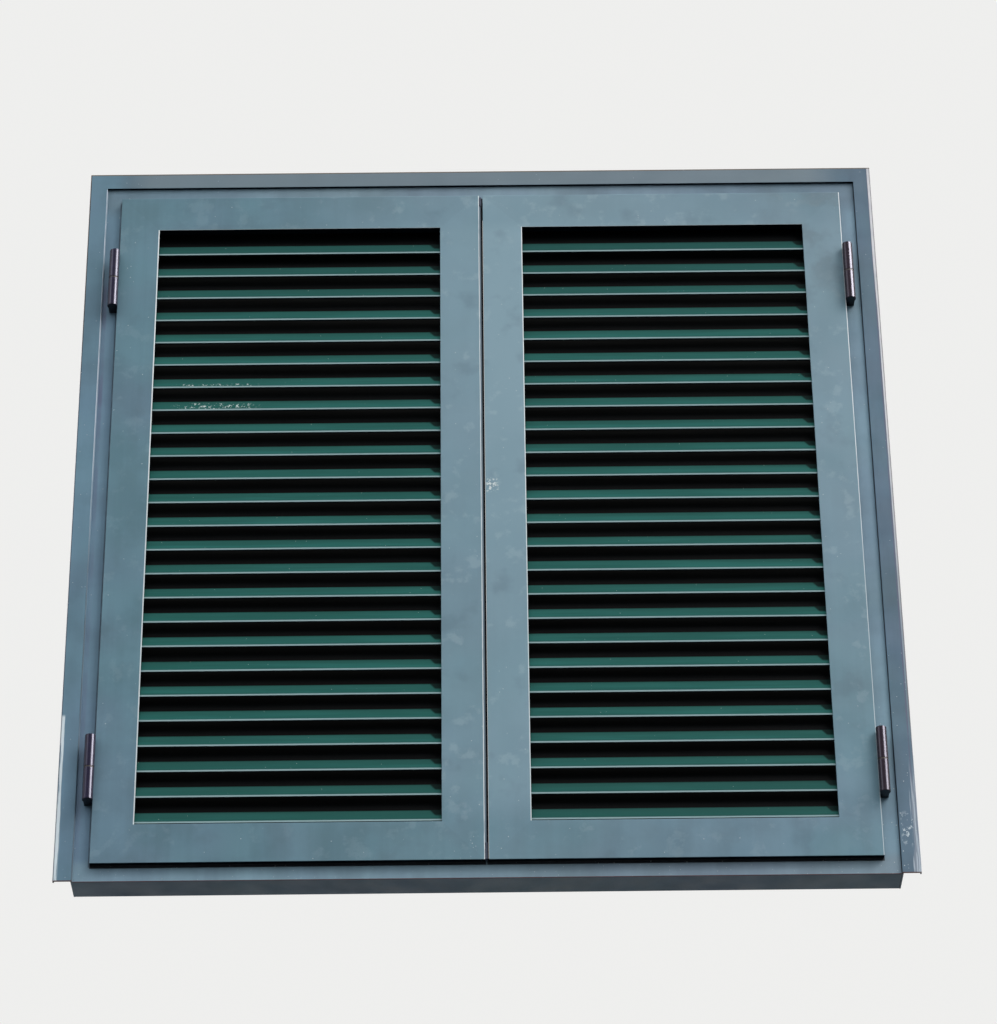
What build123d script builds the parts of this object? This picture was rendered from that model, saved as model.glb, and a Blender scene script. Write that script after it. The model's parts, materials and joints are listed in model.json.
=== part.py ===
from build123d import *
import os
from math import cos, pi, radians, sin

os.makedirs("parts", exist_ok=True)

# Louvred shutters: two outward-opening leaves of fixed slats, hung in a flanged frame.
# Millimetres, +Z up. Outside is -Y, and Y = 0 is the plane that the back of the trim flange rests on.
# The origin is under the middle of the sill.

# Frame profile
overall_w = 1260.0
overall_h = 1260.0
flange_w = 28.0          # trim flange on the sides and the top
flange_proud = 4.5       # flange in front of the frame face
face_step = 1.5          # frame face in front of Y = 0
frame_face = 32.0        # width of the frame tube
frame_depth = 49.5
frame_wall = 2.0

# Leaf profile
lap = 7.0                # leaf lip over the frame face
hardware_gap = 12.0      # leaf tube to frame tube
leaf_proud = 11.0        # leaf face in front of the frame face
leaf_depth = 50.0
leaf_face = 62.5         # width of stiles and rails
leaf_wall = 1.8
lip_return = 8.0         # depth of the bent edge of the lip
slat_lip = 16.0          # lip that hides the slat ends
meeting_gap = 6.0

# Slats, drawn along the chord from the middle of the upright nose face
slat_pitch = 42.0
slat_tilt = 66.0         # degrees from level
slat_chord = 60.0
slat_nose_h = 3.4
slat_front = 3.3         # chord to the face that looks out
slat_front_bow = 2.4
slat_back = 6.0          # chord to the hidden face
slat_back_bow = 2.5
slat_heel = (1.5, -5.0)  # corner behind the nose
slat_tail_in = 2.0
slat_wall = 1.2
slat_recess = 3.8        # nose behind the leaf face
slat_foot_room = 4.5     # lowest nose above the bottom rail
slat_head_room = 42.0    # least room above the highest nose

# Slat combs
comb_t = 4.0
comb_depth = 36.0
seat_clear = 0.3

# Closing angle under the lowest slat
angle_t = 1.5
angle_h = 32.5           # upright leg above the tube of the bottom rail
angle_foot = 12.0
angle_behind = 27.0      # back of the upright leg behind the leaf face

# Hinges
hinge_r = 8.0
hinge_half = 52.0
washer_t = 2.0
washer_r = 7.4
washer_facets = 32
washer_bore_facets = 24
hinge_out = 6.5          # axis outside the leaf edge
hinge_stand = 0.5        # barrel in front of the leaf face
hinge_from_bottom = 151.0
hinge_from_top = 161.0
neck_out = 6.5           # neck on the frame side of the axis
neck_w = 12.0
pin_r = 4.0
pin_run = 0.06           # running clearance on the pin
pin_l = 40.0             # pin above the washer
pin_end_room = 2.0
wing_t = 2.5
wing_h = 46.0
wing_depth = 32.0        # wing along the side of the leaf tube

# Corner cleats
cleat_leg = 70.0
cleat_clear = 0.2
cleat_margin = 7.5       # cleat to the front and back walls

# Gasket
gasket_w = 3.5
gasket_gap = 0.1
gasket_end = 0.6         # gasket to a hinge wing

# Meeting strip
strip_t = 1.8
strip_nose = 3.4         # strip seen in the gap
strip_recess = 3.0       # strip behind the leaf face
strip_foot = 14.0
strip_short_top = 19.0
strip_short_bottom = 28.0
cap_back = 0.4
cap_over = 0.5           # cap past the strip
cap_proud = 1.0          # cap in front of the strip
cap_end = 2.0            # cap to the end of the leaf
seal_t = 2.2            # rubber fin that closes the rest of the gap
seal_recess = 0.8       # fin behind the nose of the strip
seal_clear = 0.35       # fin to the right leaf

# Fixing holes through the jambs
fix_r = 3.75
fix_from_end = 315.0
fix_y = 30.0

# Closing gear
rod_w = 10.0
rod_t = 4.0
rod_clear = 0.3
rod_throw = 8.5
tip_gap = 0.8            # drawn rod to keep
keep_h = 9.5
keep_wall = 3.0
keep_clear = 0.75
keep_depth = 8.5
base_w = 27.0
base_h = 150.0
base_t = 11.0
base_wall = 2.5
base_corner = 4.0
base_bevel = 1.5
gear_room = 90.0         # height of the chamber round the gear
pinion_teeth = 10
pinion_r = 5.4
tooth_add = 1.0
tooth_ded = 1.3
tooth_share = 0.36       # tooth thickness over pitch
root_share = 0.62        # half width of a tooth at its root, over its thickness
crest_share = 0.30
rack_w = 3.2
rack_teeth = 6           # teeth each way from the pinion centre
rack_tail = 24.0
boss_r = 4.5
square = 7.0
square_clear = 0.1
grip_l = 112.0
grip_w = 19.0
grip_end_r = 7.0
grip_t = 9.0
grip_out = 16.0          # grip in front of the base
grip_bevel = 2.0
knob_r = 9.0
knob_sink = 1.0          # knob into the grip
guide_w = 19.0
guide_h = 16.0
guide_t = 2.2
guide_from_base = 130.0
guide_from_end = 60.0

# Flush bolts of the left leaf
bolt_w = 7.0
bolt_clear = 0.3
bolt_body_w = 12.0
bolt_body_d = 16.0
bolt_body_h = 90.0
bolt_l = 76.0
bolt_y = 21.0
bolt_showing = 5.7       # drawn bolt past the end of its body
knob_from_tail = 20.0
knob_w = 5.0
knob_clear = 0.5
knob_l = 8.0
knob_out = 6.0

# Planes and edges that follow from the sizes
half_w = overall_w / 2
frame_front = -face_step
frame_back = frame_front + frame_depth
flange_front = frame_front - flange_proud
tube_x = half_w - flange_w
frame_in_x = tube_x - frame_face
frame_in_top = overall_h - flange_w - frame_face
leaf_front = frame_front - leaf_proud
leaf_back = leaf_front + leaf_depth
leaf_out_x = frame_in_x + lap
leaf_in_x = meeting_gap / 2
leaf_w = leaf_out_x - leaf_in_x
leaf_bottom = frame_face - lap
leaf_top = frame_in_top + lap
leaf_h = leaf_top - leaf_bottom
outer_lip = lap + hardware_gap
tube_in_u = leaf_face - slat_lip
hinge_x = leaf_out_x + hinge_out
hinge_y = leaf_front - hinge_stand - hinge_r
hinge_zs = {"bottom": leaf_bottom + hinge_from_bottom, "top": leaf_top - hinge_from_top}
sides = {"left": -1, "right": 1}
rod_x = leaf_in_x + (outer_lip + tube_in_u) / 2
handle_z = (frame_in_top + frame_face) / 2
slat_y = leaf_front + slat_recess
slat_z0 = leaf_bottom + leaf_face + slat_foot_room
louvre_h = leaf_h - 2 * leaf_face
slat_count = 1 + int((louvre_h - slat_foot_room - slat_head_room) / slat_pitch)
upward = Vector(0, 0, 1)
inward = Vector(0, 1, 0)


def ring_section(outer, hole):
    """A closed outline with a rectangular chamber, u across and Y deep."""
    u0, y0, u1, y1 = hole
    with BuildSketch() as section:
        with BuildLine():
            Polyline(*outer, close=True)
        make_face()
        with Locations(((u0 + u1) / 2, (y0 + y1) / 2)):
            Rectangle(u1 - u0, y1 - y0, mode=Mode.SUBTRACT)
    return section.sketch


# Frame tube with its stepped flange, u from the outer edge inwards
flange_section = ring_section(
    [
        (0, flange_front),
        (flange_w, flange_front),
        (flange_w, frame_front),
        (flange_w + frame_face, frame_front),
        (flange_w + frame_face, frame_back),
        (flange_w - frame_wall, frame_back),
        (flange_w - frame_wall, flange_front + frame_wall),
        (frame_wall, flange_front + frame_wall),
        (frame_wall, 0),
        (0, 0),
    ],
    (flange_w, frame_front + frame_wall, flange_w + frame_face - frame_wall, frame_back - frame_wall),
)

# Plain tube of the sill
sill_section = ring_section(
    [(0, frame_front), (frame_face, frame_front), (frame_face, frame_back), (0, frame_back)],
    (frame_wall, frame_front + frame_wall, frame_face - frame_wall, frame_back - frame_wall),
)

# Leaf tube with its bent outer lip and its inner slat lip, u from the leaf edge inwards
leaf_section = ring_section(
    [
        (0, leaf_front),
        (leaf_face, leaf_front),
        (leaf_face, leaf_front + leaf_wall),
        (tube_in_u, leaf_front + leaf_wall),
        (tube_in_u, leaf_back),
        (outer_lip, leaf_back),
        (outer_lip, leaf_front + leaf_wall),
        (leaf_wall, leaf_front + leaf_wall),
        (leaf_wall, leaf_front + lip_return),
        (0, leaf_front + lip_return),
    ],
    (outer_lip + leaf_wall, leaf_front + leaf_wall, tube_in_u - leaf_wall, leaf_back - leaf_wall),
)


def profile_run(section, corner, u_dir, length, mitre_start=True, mitre_end=True):
    """Extrude a section from a corner, with u pointing into the frame, and mitre its ends."""
    across = Vector(*u_dir)
    run = across.cross(inward)
    start = Vector(*corner)
    end = start + run * length
    with BuildSketch(Plane(origin=start, x_dir=across, z_dir=run)) as face:
        add(section)
    extrude(face.sketch, amount=length)
    if mitre_start:
        split(bisect_by=Plane(origin=start, x_dir=inward, z_dir=run - across), keep=Keep.TOP)
    if mitre_end:
        split(bisect_by=Plane(origin=end, x_dir=inward, z_dir=-run - across), keep=Keep.TOP)


def cylinder_between(start, direction, radius, length, mode=Mode.ADD):
    """A round bar or hole from a point along a direction."""
    with BuildSketch(Plane(origin=start, z_dir=direction)) as disc:
        Circle(radius)
    extrude(disc.sketch, amount=length, mode=mode)


def block(low, high, mode=Mode.ADD):
    """A rectangular block between two corners."""
    size = [b - a for a, b in zip(low, high)]
    middle = [(a + b) / 2 for a, b in zip(low, high)]
    with Locations(tuple(middle)):
        Box(*size, mode=mode)


def span(a, b):
    """Two numbers in rising order."""
    return (a, b) if a < b else (b, a)


fix_zs = [fix_from_end, overall_h - fix_from_end]


# Frame
with BuildPart() as frame_head:
    profile_run(flange_section, (-half_w, 0, overall_h), (0, 0, -1), overall_w)
frame_head.part.label = "frame_head"
export_step(frame_head.part, "parts/frame_head.step")

with BuildPart() as frame_sill:
    profile_run(sill_section, (tube_x, 0, 0), (0, 0, 1), 2 * tube_x)
frame_sill.part.label = "frame_sill"
export_step(frame_sill.part, "parts/frame_sill.step")


def sill_notch(side):
    """Cut the jamb tube along the mitre that it shares with the sill."""
    with BuildSketch(Plane.XZ.offset(-frame_back)) as notch:
        with BuildLine():
            Polyline(
                (side * tube_x, 0),
                (side * frame_in_x, 0),
                (side * frame_in_x, frame_face),
                close=True,
            )
        make_face()
    extrude(notch.sketch, amount=frame_depth, mode=Mode.SUBTRACT)


for name, side in sides.items():
    with BuildPart() as jamb:
        if side < 0:
            profile_run(flange_section, (-half_w, 0, 0), (1, 0, 0), overall_h, mitre_start=False)
        else:
            profile_run(flange_section, (half_w, 0, overall_h), (-1, 0, 0), overall_h, mitre_end=False)
        sill_notch(side)
        for z in fix_zs:
            cylinder_between((side * frame_in_x, fix_y, z), (side, 0, 0), fix_r, frame_face + frame_wall,
                             Mode.SUBTRACT)
    jamb.part.label = f"frame_jamb_{name}"
    export_step(jamb.part, f"parts/frame_jamb_{name}.step")


def corner_cleat(x, z, x_dir, z_dir, x_leg, z_leg, y_low, y_high):
    """An L-shaped cleat whose legs run from a corner along x_dir and z_dir."""
    outline = [
        (x, z),
        (x + x_dir * cleat_leg, z),
        (x + x_dir * cleat_leg, z + z_dir * x_leg),
        (x + x_dir * z_leg, z + z_dir * x_leg),
        (x + x_dir * z_leg, z + z_dir * cleat_leg),
        (x, z + z_dir * cleat_leg),
    ]
    with BuildSketch(Plane.XZ.offset(-y_high)) as ell:
        with BuildLine():
            Polyline(*outline, close=True)
        make_face()
    extrude(ell.sketch, amount=y_high - y_low)


with BuildPart() as frame_corner_cleats:
    jamb_leg = frame_face - frame_wall - 2 * cleat_clear
    sill_leg = jamb_leg - frame_wall
    low = frame_front + cleat_margin
    high = frame_back - cleat_margin
    for side in sides.values():
        x = side * (tube_x - cleat_clear)
        corner_cleat(x, overall_h - flange_w - cleat_clear, -side, -1, jamb_leg, jamb_leg, low, high)
        corner_cleat(x, frame_wall + cleat_clear, -side, 1, sill_leg, jamb_leg, low, high)
frame_corner_cleats.part.label = "frame_corner_cleats"
export_step(frame_corner_cleats.part, "parts/frame_corner_cleats.step")


# Hinges: the frame half carries its fixed pin, and the leaf half turns on it above a washer
neck_low = hinge_x + neck_out - neck_w
for height, hinge_z in hinge_zs.items():
    for name, side in sides.items():
        half_low = hinge_z - washer_t / 2 - hinge_half
        half_high = hinge_z + washer_t / 2
        axis_low = (side * hinge_x, hinge_y, half_low)
        axis_high = (side * hinge_x, hinge_y, half_high)
        pin_foot = (side * hinge_x, hinge_y, half_low + hinge_half)

        with BuildPart() as frame_half:
            cylinder_between(axis_low, upward, hinge_r, hinge_half)
            xs = span(side * neck_low, side * (neck_low + neck_w))
            block((xs[0], hinge_y, half_low), (xs[1], frame_front, half_low + hinge_half))
            cylinder_between(pin_foot, upward, pin_r, washer_t + pin_l)
        frame_half.part.label = f"hinge_frame_half_{name}_{height}"
        export_step(frame_half.part, f"parts/hinge_frame_half_{name}_{height}.step")

        with BuildPart() as washer:
            with BuildSketch(Plane(pin_foot)):
                RegularPolygon(washer_r, washer_facets)
                RegularPolygon(pin_r + pin_run, washer_bore_facets, major_radius=False, mode=Mode.SUBTRACT)
            extrude(amount=washer_t)
        washer.part.label = f"hinge_washer_{name}_{height}"
        export_step(washer.part, f"parts/hinge_washer_{name}_{height}.step")

        with BuildPart() as leaf_half:
            cylinder_between(axis_high, upward, hinge_r, hinge_half)
            wing_low = half_high + (hinge_half - wing_h) / 2
            wing_front = leaf_front + lip_return + gasket_gap * 2
            wing_back = frame_front - seat_clear
            edge = span(side * leaf_out_x, side * hinge_x)
            block((edge[0], hinge_y, wing_low), (edge[1], wing_back, wing_low + wing_h))
            tube_side = leaf_out_x - outer_lip
            under = span(side * tube_side, side * hinge_x)
            block((under[0], wing_front, wing_low), (under[1], wing_back, wing_low + wing_h))
            plate = span(side * tube_side, side * (tube_side + wing_t))
            block((plate[0], wing_front, wing_low), (plate[1], frame_front + wing_depth, wing_low + wing_h))
            cylinder_between(axis_high, upward, pin_r + pin_run, pin_l + pin_end_room, Mode.SUBTRACT)
        leaf_half.part.label = f"hinge_leaf_half_{name}_{height}"
        export_step(leaf_half.part, f"parts/hinge_leaf_half_{name}_{height}.step")

def bowed(start, end, bulge, parts):
    """Points from start to end along a shallow curve that bulges sideways, ends left out."""
    points = []
    for step in range(1, parts):
        t = step / parts
        s = start[0] + (end[0] - start[0]) * t
        n = start[1] + (end[1] - start[1]) * t
        points.append((s, n + 4 * bulge * t * (1 - t)))
    return points


# Slats: a hollow blade with an upright nose face and bulging sides
nose_s = slat_nose_h / 2 * sin(radians(slat_tilt))
nose_n = slat_nose_h / 2 * cos(radians(slat_tilt))
with BuildSketch() as slat_section:
    with BuildLine():
        tail_top = (slat_chord - slat_tail_in / 2, slat_tail_in / 2)
        tail_foot = (slat_chord - slat_tail_in, -slat_tail_in)
        Polyline(
            (-nose_s, -nose_n),
            (nose_s, nose_n),
            *bowed((nose_s, nose_n), tail_top, slat_front_bow, 4),
            tail_top,
            (slat_chord, 0),
            tail_foot,
            *bowed(tail_foot, slat_heel, -slat_back_bow, 3),
            slat_heel,
            close=True,
        )
    make_face()
    with BuildLine():
        room_end = slat_chord - slat_tail_in - slat_wall
        Polyline(
            (slat_heel[0] + 2 * slat_wall, slat_heel[1] / 3),
            (slat_chord / 2, slat_front - slat_wall),
            (room_end, -slat_tail_in / 2),
            (slat_chord / 2, slat_wall - slat_back),
            close=True,
        )
    make_face(mode=Mode.SUBTRACT)


def comb_slot_outline():
    """A slot round one slat, with straight sides and a mouth in line with the nose."""
    tilt = radians(slat_tilt)
    front = slat_front + seat_clear
    back = -slat_back - seat_clear
    Polyline(
        *[((n * sin(tilt) - 2 * seat_clear) / cos(tilt), n) for n in (-slat_nose_h / 3, front)],
        (slat_chord + seat_clear, front),
        (slat_chord + seat_clear, back),
        (seat_clear, back),
        close=True,
    )


def slat_planes(x):
    """One plane per slat at an X position, with its own x along the chord."""
    chord = (0, cos(radians(slat_tilt)), sin(radians(slat_tilt)))
    return [
        Plane(origin=(x, slat_y, slat_z0 + row * slat_pitch), x_dir=chord, z_dir=(1, 0, 0))
        for row in range(slat_count)
    ]


# Leaves
for name, side in sides.items():
    outer_x = side * leaf_out_x
    inner_x = side * leaf_in_x

    def stile(edge_x, u_side):
        """A stile from one leaf edge, with u pointing along u_side in X."""
        foot = leaf_bottom if u_side > 0 else leaf_top
        profile_run(leaf_section, (edge_x, 0, foot), (u_side, 0, 0), leaf_h)

    with BuildPart() as hinge_stile:
        stile(outer_x, -side)
    hinge_stile.part.label = f"{name}_hinge_stile"
    export_step(hinge_stile.part, f"parts/{name}_hinge_stile.step")

    with BuildPart() as meeting_stile:
        stile(inner_x, side)
    meeting_stile.part.label = f"{name}_meeting_stile"
    export_step(meeting_stile.part, f"parts/{name}_meeting_stile.step")

    low_x, high_x = span(outer_x, inner_x)
    with BuildPart() as top_rail:
        profile_run(leaf_section, (low_x, 0, leaf_top), (0, 0, -1), leaf_w)
    top_rail.part.label = f"{name}_top_rail"
    export_step(top_rail.part, f"parts/{name}_top_rail.step")

    with BuildPart() as bottom_rail:
        profile_run(leaf_section, (high_x, 0, leaf_bottom), (0, 0, 1), leaf_w)
    bottom_rail.part.label = f"{name}_bottom_rail"
    export_step(bottom_rail.part, f"parts/{name}_bottom_rail.step")

    with BuildPart() as corner_cleats:
        inset = outer_lip + leaf_wall + cleat_clear
        leg = tube_in_u - outer_lip - 2 * leaf_wall - 2 * cleat_clear
        low = leaf_front + cleat_margin
        high = leaf_back - cleat_margin
        for x, x_dir in ((low_x + inset, 1), (high_x - inset, -1)):
            corner_cleat(x, leaf_bottom + inset, x_dir, 1, leg, leg, low, high)
            corner_cleat(x, leaf_top - inset, x_dir, -1, leg, leg, low, high)
    corner_cleats.part.label = f"{name}_corner_cleats"
    export_step(corner_cleats.part, f"parts/{name}_corner_cleats.step")

    slat_start = low_x + tube_in_u + seat_clear
    slat_length = leaf_w - 2 * (tube_in_u + seat_clear)
    with BuildPart() as slats:
        with BuildSketch(*slat_planes(slat_start)):
            add(slat_section.sketch)
        extrude(amount=slat_length)
    slats.part.label = f"{name}_slats"
    export_step(slats.part, f"parts/{name}_slats.step")

    for place, x in (("hinge", outer_x - side * tube_in_u), ("meeting", inner_x + side * tube_in_u)):
        towards = -side if place == "hinge" else side
        comb_low, comb_high = span(x, x + towards * comb_t)
        with BuildPart() as comb:
            comb_front = leaf_front + leaf_wall
            block(
                (comb_low, comb_front, leaf_bottom + tube_in_u + seat_clear),
                (comb_high, comb_front + comb_depth, leaf_top - tube_in_u - seat_clear),
            )
            with BuildSketch(*slat_planes(comb_low)):
                with BuildLine():
                    comb_slot_outline()
                make_face()
            extrude(amount=comb_t, mode=Mode.SUBTRACT)
        comb.part.label = f"{name}_slat_comb_{place}_side"
        export_step(comb.part, f"parts/{name}_slat_comb_{place}_side.step")

    # Angle on the tube of the bottom rail, which closes the view under the lowest slat
    with BuildPart() as closing_angle:
        start_x = low_x + tube_in_u + comb_t + seat_clear
        end_x = high_x - tube_in_u - comb_t - seat_clear
        seat = leaf_bottom + tube_in_u
        back = leaf_front + angle_behind
        with BuildSketch(Plane(origin=(start_x, 0, 0), x_dir=(0, 1, 0), z_dir=(1, 0, 0))):
            with BuildLine():
                Polyline(
                    (back - angle_foot, seat),
                    (back, seat),
                    (back, seat + angle_h),
                    (back - angle_t, seat + angle_h),
                    (back - angle_t, seat + angle_t),
                    (back - angle_foot, seat + angle_t),
                    close=True,
                )
            make_face()
        extrude(amount=end_x - start_x)
    closing_angle.part.label = f"{name}_closing_angle"
    export_step(closing_angle.part, f"parts/{name}_closing_angle.step")

    # Rubber behind the bent lip on three sides, open where the hinge wings pass
    with BuildPart() as gasket:
        front = leaf_front + lip_return
        back = frame_front - gasket_gap
        edge_x = outer_x - side * gasket_w
        side_xs = span(outer_x, edge_x)
        block((side_xs[0], front, leaf_bottom), (side_xs[1], back, leaf_top))
        block((low_x, front, leaf_top - gasket_w), (high_x, back, leaf_top))
        block((low_x, front, leaf_bottom), (high_x, back, leaf_bottom + gasket_w))
        for hinge_z in hinge_zs.values():
            middle = hinge_z + (washer_t + hinge_half) / 2
            half_cut = wing_h / 2 + gasket_end
            block((side_xs[0], front, middle - half_cut), (side_xs[1], back, middle + half_cut),
                  Mode.SUBTRACT)
    gasket.part.label = f"{name}_gasket"
    export_step(gasket.part, f"parts/{name}_gasket.step")


# Meeting strip of the left leaf: it closes the gap in front of the right leaf edge
strip_front = leaf_front + strip_recess
strip_x = -leaf_in_x + gasket_gap
foot_x = -leaf_in_x - outer_lip
return_back = leaf_front + lip_return + seat_clear
strip_low = leaf_bottom + strip_short_bottom
strip_high = leaf_top - strip_short_top

with BuildPart() as meeting_strip:
    with BuildSketch(Plane.XY.offset(strip_low)):
        with BuildLine():
            Polyline(
                (strip_x, strip_front),
                (strip_x + strip_nose, strip_front),
                (strip_x + strip_nose, strip_front + strip_t),
                (strip_x + strip_t, strip_front + strip_t),
                (strip_x + strip_t, return_back + strip_t),
                (foot_x + strip_t, return_back + strip_t),
                (foot_x + strip_t, return_back + strip_foot),
                (foot_x, return_back + strip_foot),
                (foot_x, return_back),
                (strip_x, return_back),
                close=True,
            )
        make_face()
    extrude(amount=strip_high - strip_low)
meeting_strip.part.label = "meeting_strip"
export_step(meeting_strip.part, "parts/meeting_strip.step")

with BuildPart() as meeting_strip_caps:
    cap_y = (strip_front - cap_proud, frame_front - cap_back)
    cap_x = (strip_x, strip_x + strip_nose + cap_over)
    block((cap_x[0], cap_y[0], strip_high), (cap_x[1], cap_y[1], leaf_top - cap_end))
    block((cap_x[0], cap_y[0], leaf_bottom + cap_end), (cap_x[1], cap_y[1], strip_low))
meeting_strip_caps.part.label = "meeting_strip_caps"
export_step(meeting_strip_caps.part, "parts/meeting_strip_caps.step")

with BuildPart() as meeting_seal:
    seal_front = strip_front + strip_t + seal_recess
    seal_x = (strip_x + strip_t, leaf_in_x - seal_clear)
    block((seal_x[0], seal_front, strip_low), (seal_x[1], seal_front + seal_t, strip_high))
meeting_seal.part.label = "meeting_seal"
export_step(meeting_seal.part, "parts/meeting_seal.step")


# Closing gear on the back of the right meeting stile: a handle turns a pinion between two racks
rod_front = leaf_back + rod_clear
base_back = leaf_back + base_t
tip_top = frame_in_top - keep_h - tip_gap
tip_bottom = frame_face + keep_h + tip_gap
rod_reach = tip_top - handle_z


def gear_outline():
    """Straight-sided teeth round the pinion, in its own plane."""
    pitch_angle = 2 * pi / pinion_teeth
    points = []
    for tooth in range(pinion_teeth):
        for radius, share in (
            (pinion_r - tooth_ded, -root_share),
            (pinion_r + tooth_add, -crest_share),
            (pinion_r + tooth_add, crest_share),
            (pinion_r - tooth_ded, root_share),
        ):
            angle = pitch_angle * (tooth + share * tooth_share)
            points.append((radius * cos(angle), radius * sin(angle)))
    Polyline(*points, close=True)


def rack_rod_outline(reach):
    """A flat rod with a rack leg beside the pinion, from the pinion centre up to its tip."""
    pitch = 2 * pi * pinion_r / pinion_teeth
    root = -(pinion_r + tooth_ded)
    crest = -(pinion_r - tooth_add)
    points = [(root - rack_w, -rack_tail), (root, -rack_tail)]
    for tooth in range(-rack_teeth, rack_teeth):
        middle = (tooth + 0.5) * pitch
        for x, share in (
            (root, -root_share),
            (crest, -crest_share),
            (crest, crest_share),
            (root, root_share),
        ):
            points.append((x, middle + share * tooth_share * pitch))
    points += [
        (root, rack_tail),
        (rod_w / 2, rack_tail),
        (rod_w / 2, reach),
        (-rod_w / 2, reach),
        (-rod_w / 2, rack_tail + rod_w),
        (root - rack_w, rack_tail + rod_w),
    ]
    Polyline(*points, close=True)


gear_planes = {
    "upper": Plane(origin=(rod_x, rod_front, handle_z), x_dir=(1, 0, 0), z_dir=(0, -1, 0)),
    "lower": Plane(origin=(rod_x, rod_front, handle_z), x_dir=(-1, 0, 0), z_dir=(0, -1, 0)),
}
for name, plane in gear_planes.items():
    with BuildPart() as rod:
        with BuildSketch(plane):
            with BuildLine():
                rack_rod_outline(rod_reach)
            make_face()
        extrude(amount=-rod_t)
    rod.part.label = f"{name}_rod"
    export_step(rod.part, f"parts/{name}_rod.step")

with BuildPart() as cremone_pinion:
    with BuildSketch(gear_planes["upper"]):
        with BuildLine():
            gear_outline()
        make_face()
    extrude(amount=-rod_t)
    cylinder_between((rod_x, rod_front + rod_t, handle_z), inward, boss_r, base_back - rod_front - rod_t)
    with Locations((rod_x, base_back + grip_out / 2, handle_z)):
        Box(square, grip_out, square)
cremone_pinion.part.label = "cremone_pinion"
export_step(cremone_pinion.part, "parts/cremone_pinion.step")

with BuildPart() as cremone_base:
    half_base = base_w / 2
    half_room = gear_room / 2
    low_z = handle_z - base_h / 2
    high_z = handle_z + base_h / 2
    block((rod_x - half_base, leaf_back, low_z), (rod_x + half_base, base_back, high_z))
    chamfer(cremone_base.edges().filter_by(Axis.Y), length=base_corner)
    chamfer(cremone_base.faces().sort_by(Axis.Y)[-1].edges(), length=base_bevel)
    block(
        (rod_x - half_base + base_wall, leaf_back, handle_z - half_room),
        (rod_x + half_base - base_wall, base_back - base_wall, handle_z + half_room),
        Mode.SUBTRACT,
    )
    half_slot = rod_w / 2 + rod_clear
    block(
        (rod_x - half_slot, leaf_back, low_z),
        (rod_x + half_slot, rod_front + rod_t + rod_clear, high_z),
        Mode.SUBTRACT,
    )
    cylinder_between((rod_x, leaf_back, handle_z), inward, boss_r + pin_run, base_t, Mode.SUBTRACT)
cremone_base.part.label = "cremone_base"
export_step(cremone_base.part, "parts/cremone_base.step")

# The grip points level over the slats with the rods drawn, and hangs down with them shot
with BuildPart() as cremone_handle:
    grip_plane = Plane(origin=(rod_x, base_back + grip_out, handle_z), x_dir=(1, 0, 0), z_dir=(0, 1, 0))
    with BuildSketch(grip_plane):
        Circle(grip_w / 2)
        with Locations((grip_l - grip_end_r, 0)):
            Circle(grip_end_r)
        make_hull()
    extrude(amount=grip_t)
    chamfer(cremone_handle.edges().group_by(Axis.Y)[-1], length=grip_bevel)
    cylinder_between((rod_x, base_back + seat_clear, handle_z), inward, knob_r, grip_out - seat_clear + knob_sink)
    room = square + 2 * square_clear
    with Locations((rod_x, base_back + grip_out / 2, handle_z)):
        Box(room, grip_out, room, mode=Mode.SUBTRACT)
cremone_handle.part.label = "cremone_handle"
export_step(cremone_handle.part, "parts/cremone_handle.step")

with BuildPart() as rod_guides:
    reach_top = leaf_top - outer_lip - guide_from_end
    reach_base = handle_z + base_h / 2 + guide_from_base
    channel = rod_t + 2 * rod_clear
    for z in (reach_top, reach_base, 2 * handle_z - reach_base, 2 * handle_z - reach_top):
        low_z = z - guide_h / 2
        high_z = z + guide_h / 2
        half_guide = guide_w / 2
        half_slot = rod_w / 2 + rod_clear
        block((rod_x - half_guide, leaf_back, low_z),
              (rod_x + half_guide, leaf_back + channel + guide_t, high_z))
        block((rod_x - half_slot, leaf_back, low_z), (rod_x + half_slot, leaf_back + channel, high_z),
              Mode.SUBTRACT)
rod_guides.part.label = "rod_guides"
export_step(rod_guides.part, "parts/rod_guides.step")

# Flush bolts on the side of the left meeting stile
bolt_x = -(leaf_in_x + outer_lip - bolt_body_w / 2)
bolt_ends = {"top": (tip_top, 1), "bottom": (tip_bottom, -1)}

with BuildPart() as flush_bolt_bodies:
    body_x = (bolt_x - bolt_body_w / 2, bolt_x + bolt_body_w / 2)
    body_y = (bolt_y - bolt_body_d / 2, bolt_y + bolt_body_d / 2)
    half_room = bolt_w / 2 + bolt_clear
    for tip, way in bolt_ends.values():
        end_z = tip - way * bolt_showing
        ends = span(end_z, end_z - way * bolt_body_h)
        block((body_x[0], body_y[0], ends[0]), (body_x[1], body_y[1], ends[1]))
        room = span(end_z, tip - way * (bolt_l + bolt_clear))
        block((bolt_x - half_room, bolt_y - half_room, room[0]),
              (bolt_x + half_room, bolt_y + half_room, room[1]), Mode.SUBTRACT)
        knob_z = tip - way * (bolt_l - knob_from_tail)
        half_slot = knob_w / 2 + knob_clear
        slot = span(
            knob_z - way * (knob_l / 2 + knob_clear),
            knob_z + way * (knob_l / 2 + rod_throw + knob_clear),
        )
        block((bolt_x - half_slot, bolt_y, slot[0]), (bolt_x + half_slot, body_y[1], slot[1]), Mode.SUBTRACT)
flush_bolt_bodies.part.label = "flush_bolt_bodies"
export_step(flush_bolt_bodies.part, "parts/flush_bolt_bodies.step")

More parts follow.
